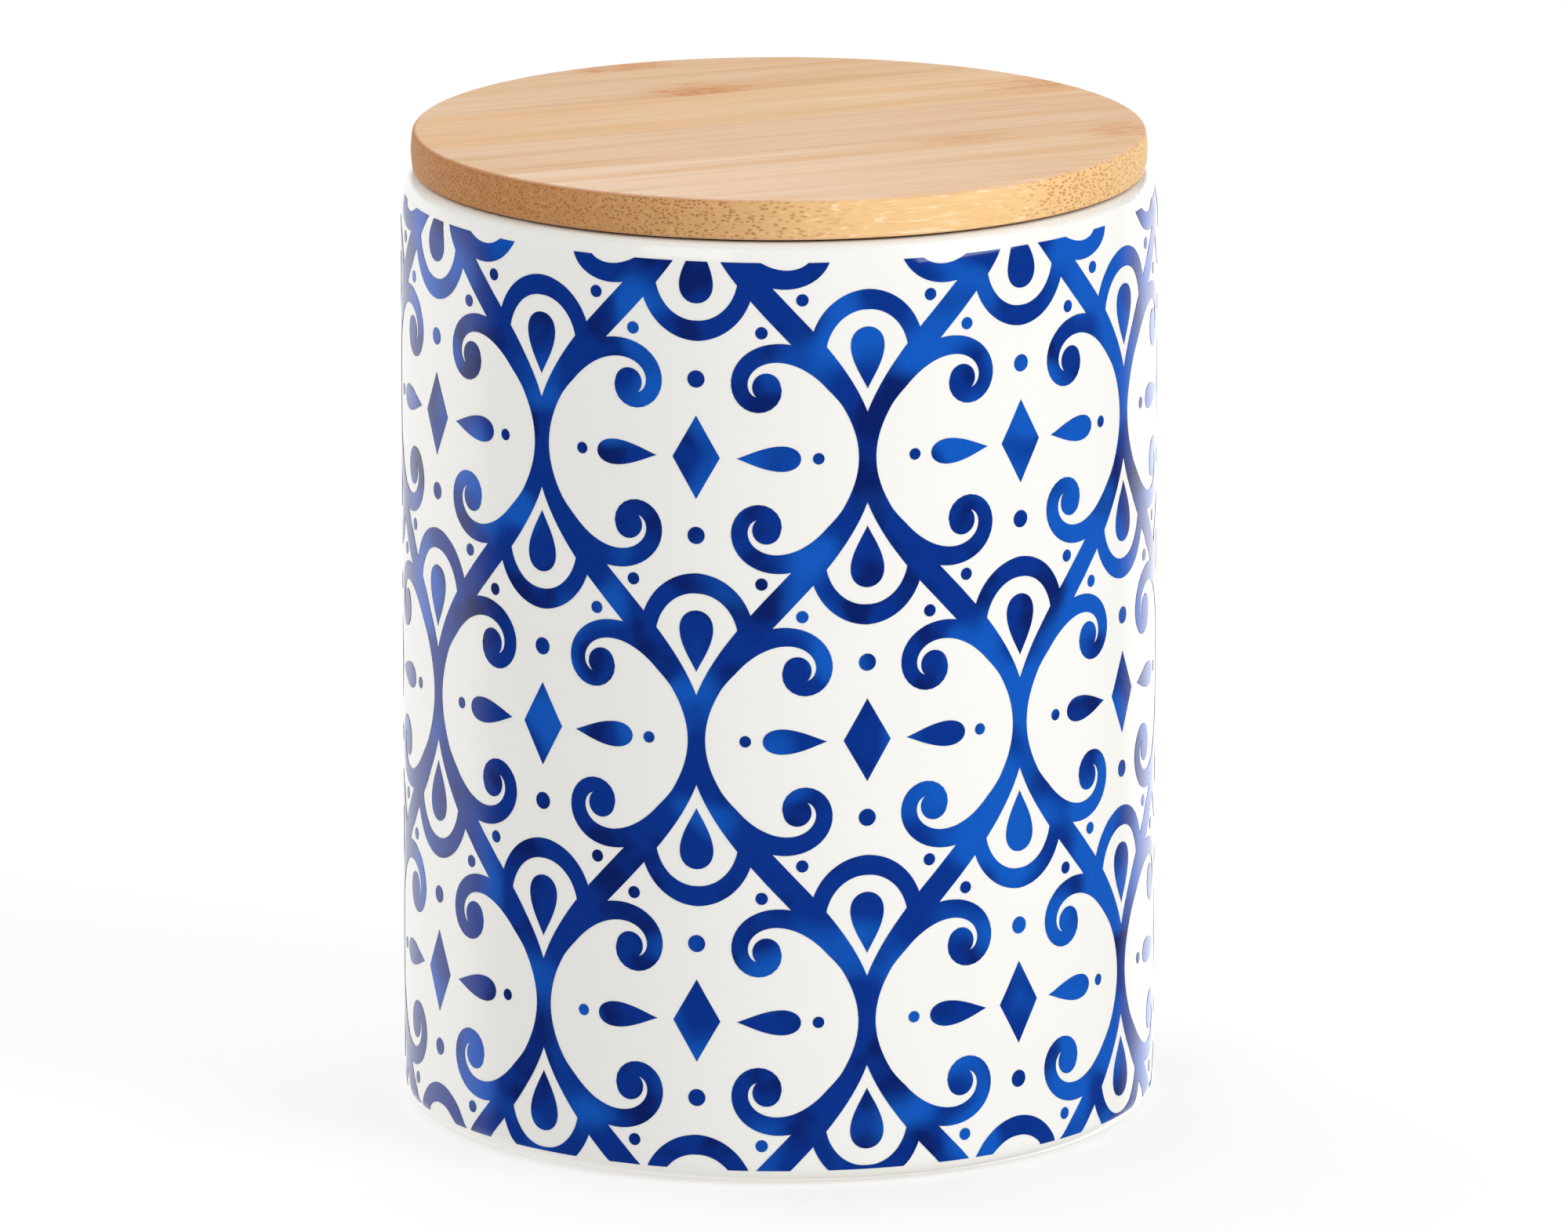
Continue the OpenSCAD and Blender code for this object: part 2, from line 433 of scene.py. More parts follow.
def scroll(root, heading, length, open_bend, tight_bend, width, gather=2.4, ball=0.61, steps=44):
    """A scroll whose bend tightens along its length, with a ball that fills out its inner edge."""
    spine, angle, step = [Vector(root)], math.radians(heading), length / steps
    for i in range(steps):
        angle += step * (open_bend + (tight_bend - open_bend) * ((i + 0.5) / steps) ** gather)
        spine.append(spine[-1] + step * Vector((math.cos(angle), math.sin(angle))))
    widths = [width * min(0.72 + 1.4 * i / steps, 1 - 0.4 * i / steps) for i in range(steps + 1)]
    ball_r = ball * width
    inward = Vector((-math.sin(angle), math.cos(angle)))
    return rounded(spine, widths) + [disc(spine[-1] + (ball_r - widths[-1] / 2) * inward, ball_r)]


def swag(low, high, reach, width, start=-12, sweep=104, steps=26):
    """An arc from just past the column's axis up to the frame, narrower towards its end."""
    angles = [math.radians(start + sweep * i / steps) for i in range(steps + 1)]
    spine = [Vector((reach * math.sin(a), high - (high - low) * math.cos(a))) for a in angles]
    return rounded(spine, [width * (1 - 0.25 * i / steps) for i in range(steps + 1)])


def bud(root, heading, length, width, steps=24):
    """A drop, round at its root and pointed at its tip."""
    way = Vector((math.cos(math.radians(heading)), math.sin(math.radians(heading))))
    turns = [math.pi * i / steps for i in range(steps + 1)]
    spine = [Vector(root) + way * length * (1 - math.cos(t)) / 2 for t in turns]
    widths = [max(0.02, width * math.sin(t) * math.cos(t / 2) ** 1.3 * 1.35) for t in turns]
    return [swept(spine, widths)]


def ornament_parts(settings, cell_w):
    """Flat parts of a quarter of the repeat, each with its copy turned half round in the cell."""
    single = ogee_frame(cell_w, settings.cell_h, settings.frame_w)
    paired = scroll(**SCROLL, width=settings.scroll_w) + swag(**SWAG, width=settings.swag_w)
    for drop in BUDS:
        paired += bud(**drop)
    paired += [disc(Vector(centre), radius) for centre, radius in DOTS]
    paired += [disc(Vector((0, 0)), 1, 4, LOZENGE)]
    half_turn = Matrix.Translation((cell_w, settings.cell_h, 0)) @ Matrix.Rotation(math.pi, 4, "Z")
    turned = []
    for part in paired:
        copy = part.copy()
        bmesh.ops.transform(copy, matrix=half_turn, verts=copy.verts)
        turned.append(copy)
    return single + paired + turned


def corner_key(vert):
    """What a point is sorted by: its place, and then its neighbours' places."""
    return tuple(vert.co), sorted(tuple(edge.other_vert(vert).co) for edge in vert.link_edges)


def in_order(bm):
    """Rebuilds bm with its points and faces sorted. Operators number them differently on each run."""
    verts = sorted(bm.verts, key=corner_key)
    number_of = {vert: number for number, vert in enumerate(verts)}
    rings = []
    for face in bm.faces:
        ring = [number_of[vert] for vert in face.verts]
        first = ring.index(min(ring))
        rings.append(ring[first:] + ring[:first])
    points = [vert.co.copy() for vert in verts]
    bm.clear()
    made = [bm.verts.new(point) for point in points]
    for ring in sorted(rings):
        bm.faces.new([made[number] for number in ring])
    bm.normal_update()


def weld(bm, distance):
    """Makes points that are nearer to each other than distance one."""
    in_order(bm)
    bmesh.ops.remove_doubles(bm, verts=bm.verts, dist=distance)
    in_order(bm)


def triangulated(bm):
    """Splits every face into triangles."""
    in_order(bm)
    bmesh.ops.triangulate(bm, faces=bm.faces)


def new_verts(result):
    """Points among what a bmesh operator made."""
    return [item for item in result["geom"] if isinstance(item, bmesh.types.BMVert)]


def slab_object(bm):
    """The flat part thickened to a closed slab, as an object."""
    bmesh.ops.remove_doubles(bm, verts=bm.verts, dist=ON_CUT)
    bmesh.ops.recalc_face_normals(bm, faces=bm.faces)
    raised = new_verts(bmesh.ops.extrude_face_region(bm, geom=bm.faces[:]))
    bmesh.ops.translate(bm, vec=(0, 0, 1), verts=raised)
    bmesh.ops.recalc_face_normals(bm, faces=bm.faces)
    mesh = bpy.data.meshes.new("slab")
    bm.to_mesh(mesh)
    bm.free()
    return bpy.data.objects.new("slab", mesh)


def union_of(slabs):
    """All the slabs joined into one solid, as a bmesh. The slabs are used up."""
    gathered = bpy.data.collections.new("ornament")
    for slab in slabs[1:]:
        gathered.objects.link(slab)
    union = slabs[0].modifiers.new("union", "BOOLEAN")
    union.operation = "UNION"
    union.operand_type = "COLLECTION"
    union.collection = gathered
    union.solver = "EXACT"
    bm = bmesh.new()
    merge_object(bm, slabs[0])
    for slab in slabs[1:]:
        bpy.data.objects.remove(slab)
    bpy.data.collections.remove(gathered)
    return bm


def joined_flat(parts):
    """All parts joined into one flat sheet with no overlaps."""
    bm = union_of([slab_object(part) for part in parts])
    lower = [f for f in bm.faces if f.normal.z < 0.5]
    bmesh.ops.delete(bm, geom=lower, context="FACES")
    bmesh.ops.translate(bm, vec=(0, 0, -1), verts=bm.verts)
    weld(bm, FLAT_WELD)
    bmesh.ops.dissolve_limit(bm, angle_limit=0.02, verts=bm.verts, edges=bm.edges)
    bmesh.ops.dissolve_degenerate(bm, edges=bm.edges, dist=FLAT_WELD)
    return bm


def all_of(bm):
    """Every point, edge and face."""
    return bm.verts[:] + bm.edges[:] + bm.faces[:]


def cut(bm, point, normal, clear=False):
    """Cuts the sheet along a plane, and clears what is in front of it if asked."""
    bmesh.ops.bisect_plane(bm, geom=all_of(bm), dist=ON_CUT, plane_co=point, plane_no=normal,
                           clear_outer=clear)


def drop_loose(bm):
    """Clears points and edges that no face uses."""
    bmesh.ops.delete(bm, geom=[e for e in bm.edges if not e.link_faces], context="EDGES")
    bmesh.ops.delete(bm, geom=[v for v in bm.verts if not v.link_faces], context="VERTS")


def trimmed_quarter(bm, cell_w, cell_h, bends=9):
    """The sheet trimmed to a quarter cell, with cuts where it bends round the wall."""
    cut(bm, (0, 0, 0), (-1, 0, 0), True)
    cut(bm, (cell_w, 0, 0), (1, 0, 0), True)
    cut(bm, (0, 0, 0), (0, -1, 0), True)
    cut(bm, (0, cell_h, 0), (0, 1, 0), True)
    for i in range(1, bends):
        cut(bm, (cell_w * i / bends, 0, 0), (1, 0, 0))
    triangulated(bm)
    drop_loose(bm)


def repeated(bm, cell_w, cell_h, across, rows):
    """The quarter mirrored both ways and repeated over the whole wall, laid flat."""
    for axis in ("X", "Y"):
        bmesh.ops.mirror(bm, geom=all_of(bm), axis=axis, merge_dist=FLAT_WELD)
    bmesh.ops.recalc_face_normals(bm, faces=bm.faces)
    in_order(bm)
    cell = all_of(bm)
    for row in range(rows):
        for column in range(across):
            if row or column:
                copied = new_verts(bmesh.ops.duplicate(bm, geom=cell))
                bmesh.ops.translate(bm, vec=(2 * cell_w * column, 2 * cell_h * row, 0), verts=copied)
    weld(bm, FLAT_WELD)


def wall_point(height, settings, wall_r, jar_h):
    """Radius of the wall at a height, and how far the wall faces out and up there."""
    rim_rise = (settings.shoulder_r - settings.rim_r) * math.sin(math.radians(settings.shoulder_turn))
    shoulder_z = jar_h - settings.rim_r - rim_rise
    if height > shoulder_z:
        start, radius = shoulder_z, settings.shoulder_r
    elif height < settings.foot_r:
        start, radius = settings.foot_r, settings.foot_r
    else:
        return wall_r, 1.0, 0.0
    up = (height - start) / radius
    out = math.sqrt(1 - up * up)
    return wall_r - radius * (1 - out), out, up


def wrapped(bm, settings, wall_r, jar_h):
    """Wraps the flat sheet round the wall at the height of the enamel's face."""
    for vert in bm.verts:
        angle = vert.co.x / wall_r + math.radians(settings.turn)
        radius, out, up = wall_point(vert.co.y, settings, wall_r, jar_h)
        reach = radius + settings.proud * out
        height = vert.co.y + settings.proud * up
        vert.co = Vector((reach * math.sin(angle), -reach * math.cos(angle), height))
    weld(bm, WRAPPED_WELD)


def facing(point, settings, wall_r, jar_h):
    """The way that the wall faces behind a point of the enamel."""
    out, up = wall_point(point.z, settings, wall_r, jar_h)[1:]
    away = Vector((point.x, point.y, 0)).normalized()
    return Vector((out * away.x, out * away.y, up))


def enamel_thickness(bm, settings, wall_r, jar_h):
    """Gives the wrapped sheet its thickness, straight into the wall."""
    sunk = new_verts(bmesh.ops.extrude_face_region(bm, geom=bm.faces[:], use_keep_orig=True))
    depth = settings.proud + settings.sunk
    for vert in sunk:
        vert.co -= depth * facing(vert.co, settings, wall_r, jar_h)
    triangulated(bm)
    bmesh.ops.recalc_face_normals(bm, faces=bm.faces)
    in_order(bm)


def wall_normals(mesh, settings, wall_r, jar_h):
    """Smooth shading that follows the round wall and not the small flats."""
    normals = [facing(vert.co / MM, settings, wall_r, jar_h) for vert in mesh.vertices]
    mesh.normals_split_custom_set_from_vertices(normals)


def flat_print(settings, wall_r, jar_h):
    """The whole ornament as one flat sheet, trimmed to the printed band."""
    cell_w = 2 * math.pi * wall_r / settings.columns
    low, high = (corner.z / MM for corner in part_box("transfer_print"))
    bm = joined_flat(ornament_parts(settings, cell_w))
    trimmed_quarter(bm, cell_w, settings.cell_h)
    repeated(bm, cell_w, settings.cell_h, settings.columns // 2, ROWS)
    bmesh.ops.translate(bm, vec=(0, settings.first_z, 0), verts=bm.verts)
    cut(bm, (0, low, 0), (0, -1, 0), True)
    cut(bm, (0, high, 0), (0, 1, 0), True)
    for height in (*FOOT_BENDS, *(jar_h - depth for depth in RIM_BENDS)):
        cut(bm, (0, height, 0), (0, 1, 0))
    drop_loose(bm)
    return bm


def build_print(settings):
    """The enamel as one closed shell."""
    wall_r, jar_h = jar_size()
    bm = flat_print(settings, wall_r, jar_h)
    wrapped(bm, settings, wall_r, jar_h)
    enamel_thickness(bm, settings, wall_r, jar_h)
    bmesh.ops.scale(bm, vec=(MM, MM, MM), verts=bm.verts)
    mesh = bpy.data.meshes.new("scroll_print")
    bm.to_mesh(mesh)
    bm.free()
    mesh.polygons.foreach_set("use_smooth", [True] * len(mesh.polygons))
    wall_normals(mesh, settings, wall_r, jar_h)
    obj = bpy.data.objects.new("scroll_print", mesh)
    bpy.context.scene.collection.objects.link(obj)
    return obj


# Depth of the fine relief in the glaze, metres
GLAZE_RELIEF = 0.00012


def ink_material(settings, glaze):
    """Cobalt ink that lies unevenly under the glaze, with painted light that makes it brighter towards +X."""
    material, tree, shader = new_material("cobalt_ink")
    where = node(tree, "ShaderNodeTexCoord").outputs["Object"]
    pooled = noise(tree, where, 115.0, 2.0)
    wash_and_painted_light = noise(tree, place(tree, where, location=(0.3, 0.1, 0.2)), 80.0, 1.0)
    grain = noise(tree, where, 1600.0, 2.0)
    colour = blended(tree, ramp(tree, pooled, 0.5, 0.68), settings.ink_mid, settings.ink_deep)
    # Painted light: the ink turns brighter towards +X, the side that the lamps light most
    painted_light_plus_x = ramp(tree, split_xyz(tree, where)["X"], 0.0, 0.05, 0.0, 0.14)
    wash_and_painted_light = plus(tree, wash_and_painted_light, painted_light_plus_x)
    colour = blended(tree, ramp(tree, wash_and_painted_light, 0.52, 0.7), colour, settings.ink_bright)
    speck = ramp(tree, grain, 0.3, 0.7, -0.04, 0.04)
    tint = node(tree, "ShaderNodeHueSaturation")
    feed(tree, tint, Color=colour, Value=plus(tree, 1.0, speck))
    skin = use_group(tree, "glaze_surface", Roughness=glaze.roughness)
    feed(tree, shader, Base_Color=tint.outputs["Color"], Roughness=skin["Roughness"], IOR=1.52)
    bump(tree, shader, skin["Height"], GLAZE_RELIEF)
    return material


# ---------------------------------------------------------------- jar and seal

def glaze_material(settings):
    """Off-white glaze, warmer where it is thin, with a bare clay ring at the foot."""
    material, tree, shader = new_material("white_glaze")
    where = node(tree, "ShaderNodeTexCoord").outputs["Object"]
    level = split_xyz(tree, where)["Z"]
    skin = use_group(tree, "glaze_surface", Roughness=settings.roughness)
    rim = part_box("jar_body")[1].z
    edge = ramp(tree, level, rim - 0.0012, rim - 0.0001)
    foot = ramp(tree, level, 0.0005, 0.003, 1.0, 0.0)
    thin = times(tree, maths(tree, "MAXIMUM", edge, foot), 0.7)
    cloud = times(tree, ramp(tree, skin["Cloud"], 0.35, 0.7), 0.15)
    colour = blended(tree, maths(tree, "MAXIMUM", thin, cloud), settings.glaze, settings.thin_glaze)
    grit = noise(tree, where, 2400.0, 3.0)
    bare = ramp(tree, level, settings.bare_h * MM * 0.7, settings.bare_h * MM, 1.0, 0.0)
    clay = blended(tree, ramp(tree, grit, 0.35, 0.65), settings.clay, [0.82 * c for c in settings.clay])
    colour = blended(tree, bare, colour, clay)
    rough = plus(tree, skin["Roughness"], times(tree, bare, 0.75))
    relief = plus(tree, skin["Height"], times(tree, times(tree, grit, bare), 0.4))
    feed(tree, shader, Base_Color=colour, Roughness=rough, IOR=1.52)
    bump(tree, shader, relief, GLAZE_RELIEF)
    return material


def silicone_material(settings):
    """Milky silicone with faint mould bloom."""
    material, tree, shader = new_material("milky_silicone")
    where = node(tree, "ShaderNodeTexCoord").outputs["Object"]
    bloom = noise(tree, where, 90.0, 3.0)
    fine = noise(tree, where, 1800.0, 2.0)
    dull = [0.9 * c for c in settings.silicone]
    colour = blended(tree, ramp(tree, bloom, 0.35, 0.7), settings.silicone, dull)
    rough = plus(tree, settings.roughness, times(tree, bloom, 0.12))
    feed(tree, shader, Base_Color=colour, Roughness=rough, IOR=1.41)
    feed(tree, shader, Subsurface_Weight=0.15, Subsurface_Scale=0.002)
    bump(tree, shader, fine, 0.00001)
    return material


# ---------------------------------------------------------------- bamboo

# Tone of each strip of the top board at the -X and the +X end of its grain, front strip first
TOP_TONES = [
    (paint(236, 207, 181), paint(228, 193, 159)),
    (paint(235, 207, 181), paint(229, 195, 161)),
    (paint(227, 194, 162), paint(226, 192, 160)),
    (paint(227, 191, 155), paint(231, 198, 163)),
    (paint(226, 196, 165), paint(223, 188, 153)),
    (paint(219, 185, 156), paint(222, 188, 152)),
]
# Nodes of the cane in the top board: strip, place along and across the grain in mm, and strength
TOP_NODES = [(2, 20, -18, 0.4), (2, 43, -21, 0.6), (4, 46, 13, 0.6), (5, 0, 27.5, 1.0), (6, -3, 46, 0.8)]
# Half the size of a node of the cane along, across and through the board, metres
CANE_NODE = (0.0115, 0.0085, 0.02)
# Share of red, green and blue that is left in deep cane, in a bundle cut across, and in one seen on a face
DEEP_CANE = (0.9, 0.75, 0.55)
CUT_BUNDLE = (0.62, 0.5, 0.38)
FACE_BUNDLE = (0.8, 0.68, 0.5)
# Step in metres from one strip's place in the grain to the next strip's. The plug's strips count on from 20
STRIP_STEP = (0.37, 0.013, 0.021)
PLUG_SEED = 20


def cane_node_mask(tree, along, centre):
    """Mask of one node of the cane: a patch with a ragged edge."""
    shifted = place(tree, along, location=[-c / s for c, s in zip(centre, CANE_NODE)],
                    scale=[1 / s for s in CANE_NODE])
    ragged = times(tree, drawn_noise(tree, along, 0.35, 560.0, 4.0, 0.7), 1.6)
    return ramp(tree, plus(tree, length_of(tree, shifted), ragged), 0.95, 1.7, 1.0, 0.0)


def face_colour(tree, settings, cane, along, tones, cane_nodes):
    """A flat face: one tone into another, with deeper bands and streaks, fibre lines and cane nodes."""
    deep = [left * channel for left, channel in zip(DEEP_CANE, tones[1])]
    colour = blended(tree, ramp(tree, split_xyz(tree, along)["X"], -0.045, 0.045), *tones)
    colour = blended(tree, times(tree, ramp(tree, cane["Bands"], 0.42, 0.72), 0.6), colour, deep)
    colour = blended(tree, times(tree, ramp(tree, cane["Streaks"], 0.4, 0.75), 0.45), colour, deep)
    colour = blended(tree, times(tree, cane["Lines"], 0.2), colour, settings.fibre)
    dashes = plus(tree, 0.35, times(tree, cane["Dashes"], 0.65))
    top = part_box(TOP_STRIPS[0])[1].z
    for u, v, strength in cane_nodes:
        mask = cane_node_mask(tree, along, (u * MM, v * MM, top))
        colour = blended(tree, times(tree, times(tree, mask, dashes), strength), colour, settings.knot)
    return darkened(tree, times(tree, cane["Bundles"], 0.2), colour, FACE_BUNDLE)


def side_colour(tree, settings, cane, cut_end, toward_lit_end):
    """A side: flecked where it is cut along the grain, and dotted with bundles where it is cut across."""
    # Cut ends blend from painted shade at -X to painted light at +X
    ends = blended(tree, toward_lit_end, settings.shaded_end_tone, settings.lit_end_tone)
    colour = blended(tree, cut_end, settings.long_side, ends)
    flecks = times(tree, cane["Flecks"], ramp(tree, cut_end, 0.0, 1.0, 0.75, 0.12))
    colour = blended(tree, flecks, colour, settings.fleck)
    dots = times(tree, cane["Bundles"], ramp(tree, cut_end, 0.0, 1.0, 0.15, 1.0))
    return darkened(tree, dots, colour, CUT_BUNDLE)


def dark_top_edge(tree, lying, toward_lit_end):
    """Mask of a darker edge between a face and a side, which painted shade makes stronger at the -X end."""
    edge = times(tree, ramp(tree, lying, 0.98, 0.8), ramp(tree, lying, 0.2, 0.6))
    return times(tree, edge, ramp(tree, toward_lit_end, 0.0, 1.0, 0.65, 0.15))


def bamboo_material(name, settings, grain, tones, seed, cane_nodes=()):
    """One strip of cane. Its grain runs along X once the object's coordinates are turned by grain."""
    material, tree, shader = new_material(name)
    coords = node(tree, "ShaderNodeTexCoord").outputs
    turn = -math.radians(grain)
    along = place(tree, coords["Object"], turn=turn)
    surface = split_xyz(tree, place(tree, coords["Normal"], turn=turn))
    own = place(tree, along, location=[step * seed for step in STRIP_STEP])
    cane = use_group(tree, "bamboo_grain", Vector=own, Spacing=settings.bundle * MM)
    lying = maths(tree, "ABSOLUTE", surface["Z"])
    cut_end = ramp(tree, maths(tree, "ABSOLUTE", surface["X"]), 0.12, 0.5)
    # Share towards the +X end, which gets painted light where the -X end gets painted shade
    toward_lit_end = ramp(tree, split_xyz(tree, along)["X"], -0.058, -0.002)
    faces = face_colour(tree, settings, cane, along, tones, cane_nodes)
    sides = side_colour(tree, settings, cane, cut_end, toward_lit_end)
    colour = blended(tree, ramp(tree, lying, 0.45, 0.8, 1.0, 0.0), faces, sides)
    colour = blended(tree, dark_top_edge(tree, lying, toward_lit_end), colour, settings.edge)
    rough = plus(tree, settings.roughness, times(tree, cane["Streaks"], 0.14))
    feed(tree, shader, Base_Color=colour, Roughness=rough, IOR=1.45, Specular_IOR_Level=0.3)
    bump(tree, shader, cane["Streaks"], 0.00004)
    return material


# ---------------------------------------------------------------- stage

# Depth of the floor below the foot, and half the floor's width, metres
FLOOR_DROP = 0.0002
FLOOR_REACH = 30
# Point that the lights face, metres
LIT_POINT = (0, 0, 0.07)
# Lights: name, place and size in metres, power in watts, and whether glossy faces show it
LIGHTS = (
    ("key_light", (1.5, -0.9, 1.0), (1.2, 1.2), 19.0, True),
    ("fill_light", (-0.9, -1.6, 1.3), (1.0, 1.0), 5.0, True),
    ("left_light", (-1.08, 0.76, 0.4), (1.0, 1.4), 6.5, False),
    ("right_light", (0.9, 0.95, 0.4), (0.4, 1.4), 3.0, False),
    ("top_light", (-0.3, 0.4, 1.9), (1.4, 1.4), 11.5, True),
)


def area_light(name, location, size, power, mirrored):
    """A large soft light that faces the object. Glossy faces show it only if it is mirrored."""
    light = bpy.data.lights.new(name, "AREA")
    light.shape = "RECTANGLE"
    light.size, light.size_y = size
    light.energy = power
    obj = bpy.data.objects.new(name, light)
    obj.location = location
    obj.rotation_euler = (Vector(LIT_POINT) - Vector(location)).to_track_quat("-Z", "Y").to_euler()
    obj.visible_glossy = mirrored
    bpy.context.scene.collection.objects.link(obj)


def floor_material(settings):
    """Pale and faintly mottled, glowing more with distance, and clear from below."""
    material, tree, shader = new_material("pale_floor")
    where = node(tree, "ShaderNodeTexCoord").outputs["Object"]
    mottle = ramp(tree, noise(tree, where, 6.0, 3.0), 0.3, 0.7)
    colour = blended(tree, mottle, settings.floor, [0.985 * c for c in settings.floor])
    feed(tree, shader, Base_Color=colour, Roughness=0.9, Specular_IOR_Level=0.1)
    glow = node(tree, "ShaderNodeEmission").outputs[0]
    white = ramp(tree, length_of(tree, where), 0.15, 0.9, 0.6, 1.0)
    lit = mixed_shader(tree, white, shader.outputs[0], glow)
    under = node(tree, "ShaderNodeNewGeometry").outputs["Backfacing"]
    clear = node(tree, "ShaderNodeBsdfTransparent").outputs[0]
    seen = mixed_shader(tree, under, lit, clear)
    tree.links.new(seen, tree.nodes["Material Output"].inputs["Surface"])
    return material


def floor_piece(settings):
    """A wide floor, just clear of the foot."""
    bm = bmesh.new()
    bmesh.ops.create_grid(bm, x_segments=1, y_segments=1, size=FLOOR_REACH)
    bmesh.ops.translate(bm, vec=(0, 0, -FLOOR_DROP), verts=bm.verts)
    mesh = bpy.data.meshes.new("floor")
    bm.to_mesh(mesh)
    bm.free()
    floor = bpy.data.objects.new("floor", mesh)
    bpy.context.scene.collection.objects.link(floor)
    dress(floor, floor_material(settings))
    floor.visible_glossy = False


def place_camera(settings):
    """The camera at the set elevation in front of the object."""
    camera = bpy.data.cameras.new("camera")
    camera.lens = settings.lens
    camera.sensor_width = 36.0
    camera.clip_start, camera.clip_end = 0.05, 100.0
    tilt = math.radians(settings.elevation)
    back = Vector((0, -math.cos(tilt), math.sin(tilt)))
    obj = bpy.data.objects.new("camera", camera)
    obj.location = Vector(settings.aim) + settings.distance * back
    obj.rotation_euler = (-back).to_track_quat("-Z", "Y").to_euler()
    bpy.context.scene.collection.objects.link(obj)
    bpy.context.scene.camera = obj


def soft_surroundings(strength, mirrored):
    """A white surround. Glossy faces mirror little of it but two soft walls, behind and to the left."""
    world = bpy.data.worlds.new("studio")
    world.use_nodes = True
    tree = world.node_tree
    rays = node(tree, "ShaderNodeLightPath").outputs
    way = split_xyz(tree, node(tree, "ShaderNodeTexCoord").outputs["Generated"])
    left = ramp(tree, way["X"], 0.2, -0.2)
    around = plus(tree, way["Y"], times(tree, left, 0.5))
    walls = times(tree, ramp(tree, around, 0.55, 0.9), ramp(tree, way["Z"], 0.0, 0.2, 1.0, 0.0))
    walls = times(tree, walls, ramp(tree, left, 0.0, 1.0, 1.5, 0.9))
    glossy = times(tree, rays["Is Glossy Ray"], plus(tree, walls, mirrored))
    plain = times(tree, maths(tree, "SUBTRACT", 1.0, rays["Is Glossy Ray"]), strength)
    level = maths(tree, "MAXIMUM", plus(tree, plain, glossy), rays["Is Camera Ray"])
    feed(tree, tree.nodes["Background"], Color=(1.0, 1.0, 1.0, 1.0), Strength=level)
    bpy.context.scene.world = world


# ---------------------------------------------------------------- operators

class CANISTER_OT_finishes(bpy.types.Operator):
    """Make the shader groups that the finishes share"""
    bl_idname = "canister.make_finishes"
    bl_label = "Shared finishes"

    def execute(self, context):
        make_glaze_surface()
        make_bamboo_grain()
        return {"FINISHED"}


class CANISTER_OT_print(bpy.types.Operator):
    """Build the printed ornament and its ink"""
    bl_idname = "canister.build_print"
    bl_label = "Printed ornament"

    def execute(self, context):
        obj = build_print(context.scene.canister_print)
        dress(obj, ink_material(context.scene.canister_print, context.scene.canister_glaze))
        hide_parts("transfer_print")
        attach(obj, "jar")
        return {"FINISHED"}


class CANISTER_OT_jar(bpy.types.Operator):
    """Glaze the jar"""
    bl_idname = "canister.glaze_jar"
    bl_label = "Jar glaze"

    def execute(self, context):
        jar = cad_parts["jar_body"]
        dress(jar, glaze_material(context.scene.canister_glaze))
        return {"FINISHED"}


class CANISTER_OT_seal(bpy.types.Operator):
    """Finish the silicone seal"""
    bl_idname = "canister.finish_seal"
    bl_label = "Seal"

    def execute(self, context):
        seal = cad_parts["seal_ring"]
        dress(seal, silicone_material(context.scene.canister_seal))
        return {"FINISHED"}


class CANISTER_OT_top_board(bpy.types.Operator):
    """Finish the strips of the top board"""
    bl_idname = "canister.finish_top_board"
    bl_label = "Top board"

    def execute(self, context):
        lid = context.scene.canister_lid
        for number, name in enumerate(TOP_STRIPS, 1):
            own = [row[1:] for row in TOP_NODES if row[0] == number]
            tones = TOP_TONES[(number - 1) % len(TOP_TONES)]
            cane = bamboo_material("cane_" + name, lid, lid.top_grain, tones, number, own)
            dress(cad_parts[name], cane)
        return {"FINISHED"}


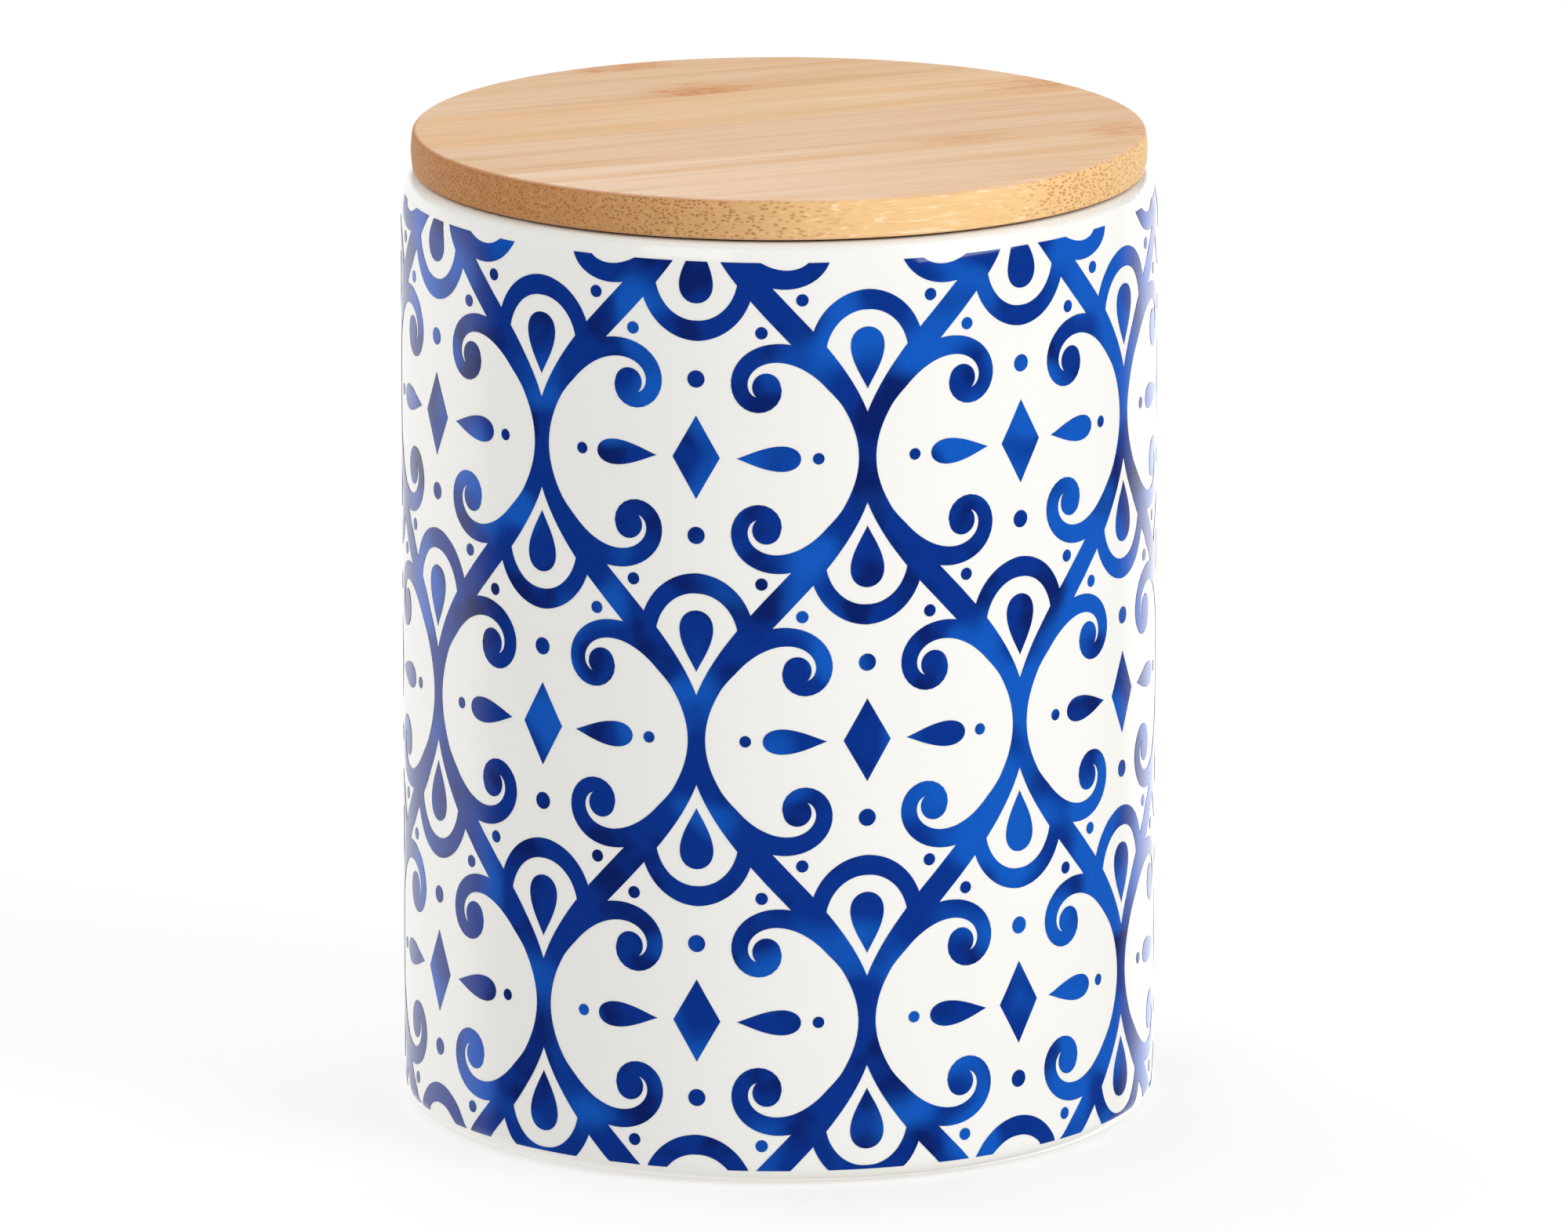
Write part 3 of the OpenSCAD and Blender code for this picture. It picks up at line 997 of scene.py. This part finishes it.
class CANISTER_OT_plug(bpy.types.Operator):
    """Finish the strips of the plug"""
    bl_idname = "canister.finish_plug"
    bl_label = "Plug"

    def execute(self, context):
        lid = context.scene.canister_lid
        for number, name in enumerate(PLUG_STRIPS, 1):
            tones = TOP_TONES[(number + 1) % len(TOP_TONES)]
            cane = bamboo_material("cane_" + name, lid, lid.plug_grain, tones, PLUG_SEED + number)
            dress(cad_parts[name], cane)
        return {"FINISHED"}


class CANISTER_OT_stage(bpy.types.Operator):
    """Set out the floor, lights and camera"""
    bl_idname = "canister.set_stage"
    bl_label = "Stage"

    def execute(self, context):
        stage = context.scene.canister_stage
        floor_piece(stage)
        soft_surroundings(stage.surround, stage.mirrored)
        for light in LIGHTS:
            area_light(*light)
        place_camera(stage)
        context.scene.view_settings.view_transform = "Standard"
        return {"FINISHED"}


class CANISTER_PT_panel(bpy.types.Panel):
    """The pieces of the canister"""
    bl_label = "Storage canister"
    bl_idname = "CANISTER_PT_panel"
    bl_space_type = "VIEW_3D"
    bl_region_type = "UI"
    bl_category = "Canister"

    def draw(self, context):
        for step in STEPS:
            self.layout.operator(step.bl_idname)


STEPS = (CANISTER_OT_finishes, CANISTER_OT_print, CANISTER_OT_jar, CANISTER_OT_seal,
         CANISTER_OT_top_board, CANISTER_OT_plug, CANISTER_OT_stage)
SETTINGS = {
    "canister_print": PrintSettings,
    "canister_glaze": GlazeSettings,
    "canister_lid": LidSettings,
    "canister_seal": SealSettings,
    "canister_stage": StageSettings,
}


def register():
    for name, kind in SETTINGS.items():
        bpy.utils.register_class(kind)
        setattr(bpy.types.Scene, name, PointerProperty(type=kind))
    for step in (*STEPS, CANISTER_PT_panel):
        bpy.utils.register_class(step)


def unregister():
    for step in (CANISTER_PT_panel, *reversed(STEPS)):
        bpy.utils.unregister_class(step)
    for name, kind in SETTINGS.items():
        delattr(bpy.types.Scene, name)
        bpy.utils.unregister_class(kind)


def main():
    register()
    bpy.ops.canister.make_finishes()
    bpy.ops.canister.build_print()
    bpy.ops.canister.glaze_jar()
    bpy.ops.canister.finish_seal()
    bpy.ops.canister.finish_top_board()
    bpy.ops.canister.finish_plug()
    bpy.ops.canister.set_stage()


if __name__ == "__main__":
    main()
